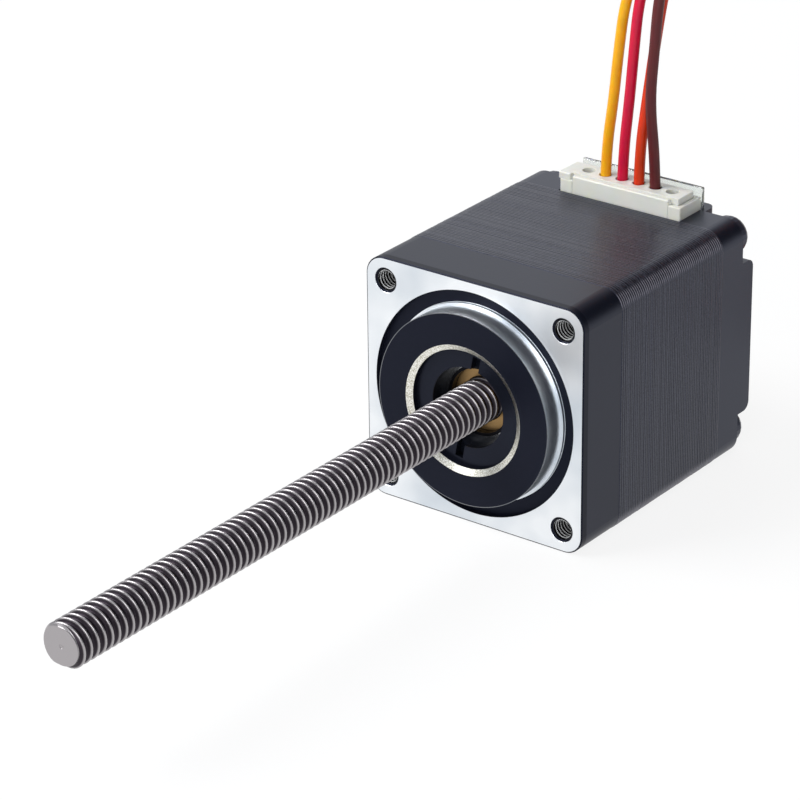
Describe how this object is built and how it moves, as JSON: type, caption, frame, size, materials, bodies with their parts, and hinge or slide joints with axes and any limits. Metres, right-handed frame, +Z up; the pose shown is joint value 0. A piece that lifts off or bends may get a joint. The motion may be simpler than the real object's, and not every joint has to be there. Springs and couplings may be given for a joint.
{
  "type": "linear stepper motor",
  "caption": "Square hybrid stepper motor with a hollow rotor and brass nut that drives a through lead screw; pilot boss and tapped corners in front, plug-in leads on top.",
  "frame": {"origin": "on the lead screw's axis, in the plane of the front mounting face", "axes": "+X right seen from the front, +Y back along the screw, +Z up towards the connector"},
  "size_m": [0.0399, 0.1412, 0.0649],
  "materials": {
    "black_aluminium": "black anodised die casting with a bare machined face",
    "lamination_steel": "stacked sheet steel, black paint",
    "black_steel": "blackened turned steel",
    "bearing_steel": "ground and polished",
    "cage_nylon": "moulded",
    "shield_steel": "pressed sheet",
    "insulator_nylon": "moulded",
    "copper_winding": "enamelled wire",
    "spring_steel": "hardened strip",
    "screw_steel": "zinc plated",
    "shaft_steel": "turned and ground",
    "rotor_steel": "stamped laminations, ground outside",
    "magnet_nickel": "nickel plated",
    "nut_brass": "turned",
    "lead_screw_steel": "rolled stainless thread",
    "connector_nylon": "moulded, slightly translucent",
    "contact_tin": "tin plated",
    "board_laminate": "solder resist",
    "yellow_insulation": "extruded",
    "red_insulation": "extruded",
    "orange_insulation": "extruded",
    "brown_insulation": "extruded",
    "lead_bundle": "the four leads' turns together",
    "tie_nylon": "moulded strap"
  },
  "bodies": {
    "motor": {"front_flange": "black_aluminium", "bearing_lock_ring": "black_steel", "stator_laminations": "lamination_steel", "front_insulator": "insulator_nylon", "rear_insulator": "insulator_nylon", "phase_a_windings": "copper_winding", "phase_b_windings": "copper_winding", "rear_cover": "black_aluminium", "preload_washer": "spring_steel", "clamp_screws": "screw_steel", "connector_header": "connector_nylon", "header_pins": "contact_tin", "terminal_board": "board_laminate", "connector_plug": "connector_nylon", "crimp_terminals": "contact_tin", "wire_yellow": "yellow_insulation", "wire_red": "red_insulation", "wire_orange": "orange_insulation", "wire_brown": "brown_insulation", "wire_coil": "lead_bundle", "coil_tie": "tie_nylon", "front_bearing_outer_ring": "bearing_steel", "front_bearing_shields": "shield_steel", "rear_bearing_outer_ring": "bearing_steel", "rear_bearing_shields": "shield_steel"},
    "rotor": {"hollow_shaft": "shaft_steel", "rotor_core_front": "rotor_steel", "rotor_magnet": "magnet_nickel", "rotor_core_rear": "rotor_steel", "drive_nut": "nut_brass", "front_bearing_inner_ring": "bearing_steel", "rear_bearing_inner_ring": "bearing_steel"},
    "lead_screw": {"lead_screw": "lead_screw_steel"},
    "front_ball_set": {"front_bearing_balls": "bearing_steel", "front_bearing_cage": "cage_nylon"},
    "rear_ball_set": {"rear_bearing_balls": "bearing_steel", "rear_bearing_cage": "cage_nylon"}
  },
  "joints": [
    {"name": "rotor_spin", "type": "hinge", "parent": "motor", "child": "rotor", "pos_m": [0, 0, 0], "axis": [0, 1, 0], "range_deg": [-21600, 4320]},
    {"name": "screw_travel", "type": "slide", "parent": "motor", "child": "lead_screw", "axis": [0, 1, 0], "range_m": [-0.0121, 0.0601]},
    {"name": "front_ball_orbit", "type": "hinge", "parent": "motor", "child": "front_ball_set", "pos_m": [0, 0.00305, 0], "axis": [0, 1, 0], "range_deg": [-9517, 1905]},
    {"name": "rear_ball_orbit", "type": "hinge", "parent": "motor", "child": "rear_ball_set", "pos_m": [0, 0.0299, 0], "axis": [0, 1, 0], "range_deg": [-9517, 1905]}
  ],
  "couplings": [
    {"joint": "screw_travel", "follows": "rotor_spin", "m_per_rad": -0.00015915},
    {"joint": "front_ball_orbit", "follows": "rotor_spin", "ratio": 0.44048},
    {"joint": "rear_ball_orbit", "follows": "rotor_spin", "ratio": 0.44048}
  ]
}
